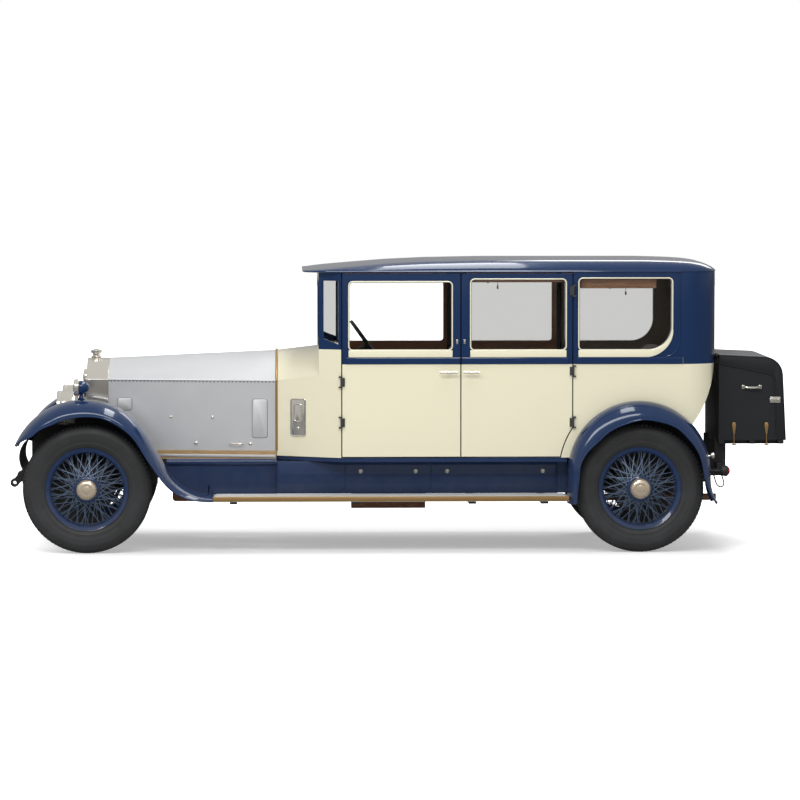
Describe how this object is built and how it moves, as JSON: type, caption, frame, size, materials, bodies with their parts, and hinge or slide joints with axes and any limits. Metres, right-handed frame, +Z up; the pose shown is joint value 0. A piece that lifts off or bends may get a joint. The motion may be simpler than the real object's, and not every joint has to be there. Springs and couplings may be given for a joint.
{
  "type": "vintage limousine car",
  "caption": "Four-door closed car of the 1920s with wire wheels, domed wings, running boards, a bare bonnet and a rear trunk.",
  "frame": {"origin": "on the ground at the middle of the car's length and width", "axes": "+X to the rear of the car, +Y to its right side, +Z up; the front faces -X"},
  "size_m": [5.428, 1.78, 2.028],
  "materials": {
    "tyre_rubber": "matt black tyre rubber",
    "navy_paint": "glossy navy blue coach paint",
    "cream_paint": "glossy cream coach paint",
    "black_paint": "black chassis paint",
    "bare_aluminium": "bare polished aluminium sheet",
    "nickel": "polished nickel plate",
    "cast_metal": "dull cast metal",
    "rusty_steel": "rusted steel pipe",
    "glass": "clear flat window glass",
    "cloth": "grey-brown upholstery cloth",
    "board_rubber": "ribbed grey rubber mat",
    "ledge_wood": "varnished tan ledge",
    "wheel_rim": "glossy black steering wheel rim",
    "leathercloth": "black grained leathercloth"
  },
  "bodies": {
    "car": {"wing_front_left": "navy_paint", "wing_front_right": "navy_paint", "wing_rear_left": "navy_paint", "wing_rear_right": "navy_paint", "valances": "navy_paint", "roof": "navy_paint", "scuttle": "cream_paint", "rear_body": "cream_paint", "windscreen_frame": "cream_paint", "front_axle": "black_paint", "rear_axle": "black_paint", "leaf_springs": "black_paint", "chassis_frame": "black_paint", "board_brackets": "black_paint", "fuel_tank": "black_paint", "front_apron": "black_paint", "luggage_rack": "black_paint", "body_frame": "black_paint", "steering_column": "black_paint", "bonnet_top": "bare_aluminium", "bonnet_side_left": "bare_aluminium", "bonnet_side_right": "bare_aluminium", "radiator_shell": "nickel", "radiator_grille": "nickel", "radiator_cap": "nickel", "headlamps": "nickel", "side_lamps": "nickel", "tail_lamp": "nickel", "engine_block": "cast_metal", "radiator_core": "cast_metal", "exhaust": "rusty_steel", "fixed_glass": "glass", "seat_front": "cloth", "seat_rear": "cloth", "running_boards": "board_rubber", "bonnet_ledges": "ledge_wood", "trunk": "leathercloth"},
    "left_knuckle": {"knuckle_left": "black_paint"},
    "right_knuckle": {"knuckle_right": "black_paint"},
    "tie_rod": {"track_rod": "black_paint"},
    "hand_wheel": {"steering_wheel": "wheel_rim"},
    "front_left_wheel": {"tyre_front_left": "tyre_rubber", "wheel_front_left": "navy_paint"},
    "front_right_wheel": {"tyre_front_right": "tyre_rubber", "wheel_front_right": "navy_paint"},
    "rear_left_wheel": {"tyre_rear_left": "tyre_rubber", "wheel_rear_left": "navy_paint"},
    "rear_right_wheel": {"tyre_rear_right": "tyre_rubber", "wheel_rear_right": "navy_paint"},
    "front_left_door": {"door_front_left": "cream_paint"},
    "front_right_door": {"door_front_right": "cream_paint"},
    "rear_left_door": {"door_rear_left": "cream_paint", "glass_rear_left": "glass"},
    "rear_right_door": {"door_rear_right": "cream_paint", "glass_rear_right": "glass"},
    "lid": {"trunk_lid": "leathercloth"}
  },
  "joints": [
    {"name": "steer_left", "type": "hinge", "parent": "car", "child": "left_knuckle", "pos_m": [-2.16, -0.59, 0.4445], "axis": [0, 0, 1], "range_deg": [-30, 30]},
    {"name": "steer_right", "type": "hinge", "parent": "car", "child": "right_knuckle", "pos_m": [-2.16, 0.59, 0.4445], "axis": [0, 0, 1], "range_deg": [-30, 30]},
    {"name": "tie_rod_pivot", "type": "hinge", "parent": "left_knuckle", "child": "tie_rod", "pos_m": [-1.98, -0.59, 0.3565], "axis": [0, 0, 1], "range_deg": [-30, 30]},
    {"name": "hand_wheel_turn", "type": "hinge", "parent": "car", "child": "hand_wheel", "pos_m": [-0.196, 0.36, 1.391], "axis": [0.809, 0, 0.5878], "range_deg": [-360, 360]},
    {"name": "spin_front_left", "type": "hinge", "parent": "left_knuckle", "child": "front_left_wheel", "pos_m": [-2.16, -0.72, 0.4445], "axis": [0, 1, 0], "continuous": true},
    {"name": "spin_front_right", "type": "hinge", "parent": "right_knuckle", "child": "front_right_wheel", "pos_m": [-2.16, 0.72, 0.4445], "axis": [0, 1, 0], "continuous": true},
    {"name": "spin_rear_left", "type": "hinge", "parent": "car", "child": "rear_left_wheel", "pos_m": [1.662, -0.72, 0.4445], "axis": [0, 1, 0], "continuous": true},
    {"name": "spin_rear_right", "type": "hinge", "parent": "car", "child": "rear_right_wheel", "pos_m": [1.662, 0.72, 0.4445], "axis": [0, 1, 0], "continuous": true},
    {"name": "front_left_door_hinge", "type": "hinge", "parent": "car", "child": "front_left_door", "pos_m": [-0.401, -0.752, 1], "axis": [0, 0, -1], "range_deg": [0, 70]},
    {"name": "front_right_door_hinge", "type": "hinge", "parent": "car", "child": "front_right_door", "pos_m": [-0.401, 0.752, 1], "axis": [0, 0, 1], "range_deg": [0, 70]},
    {"name": "rear_left_door_hinge", "type": "hinge", "parent": "car", "child": "rear_left_door", "pos_m": [1.198, -0.752, 1], "axis": [0, 0, 1], "range_deg": [0, 70]},
    {"name": "rear_right_door_hinge", "type": "hinge", "parent": "car", "child": "rear_right_door", "pos_m": [1.198, 0.752, 1], "axis": [0, 0, -1], "range_deg": [0, 70]},
    {"name": "lid_hinge", "type": "hinge", "parent": "car", "child": "lid", "pos_m": [2.233, 0, 1.345], "axis": [0, -1, 0], "range_deg": [0, 75]}
  ],
  "couplings": [
    {"joint": "steer_right", "follows": "steer_left", "ratio": 1},
    {"joint": "tie_rod_pivot", "follows": "steer_left", "ratio": -1},
    {"joint": "hand_wheel_turn", "follows": "steer_left", "ratio": 12}
  ]
}
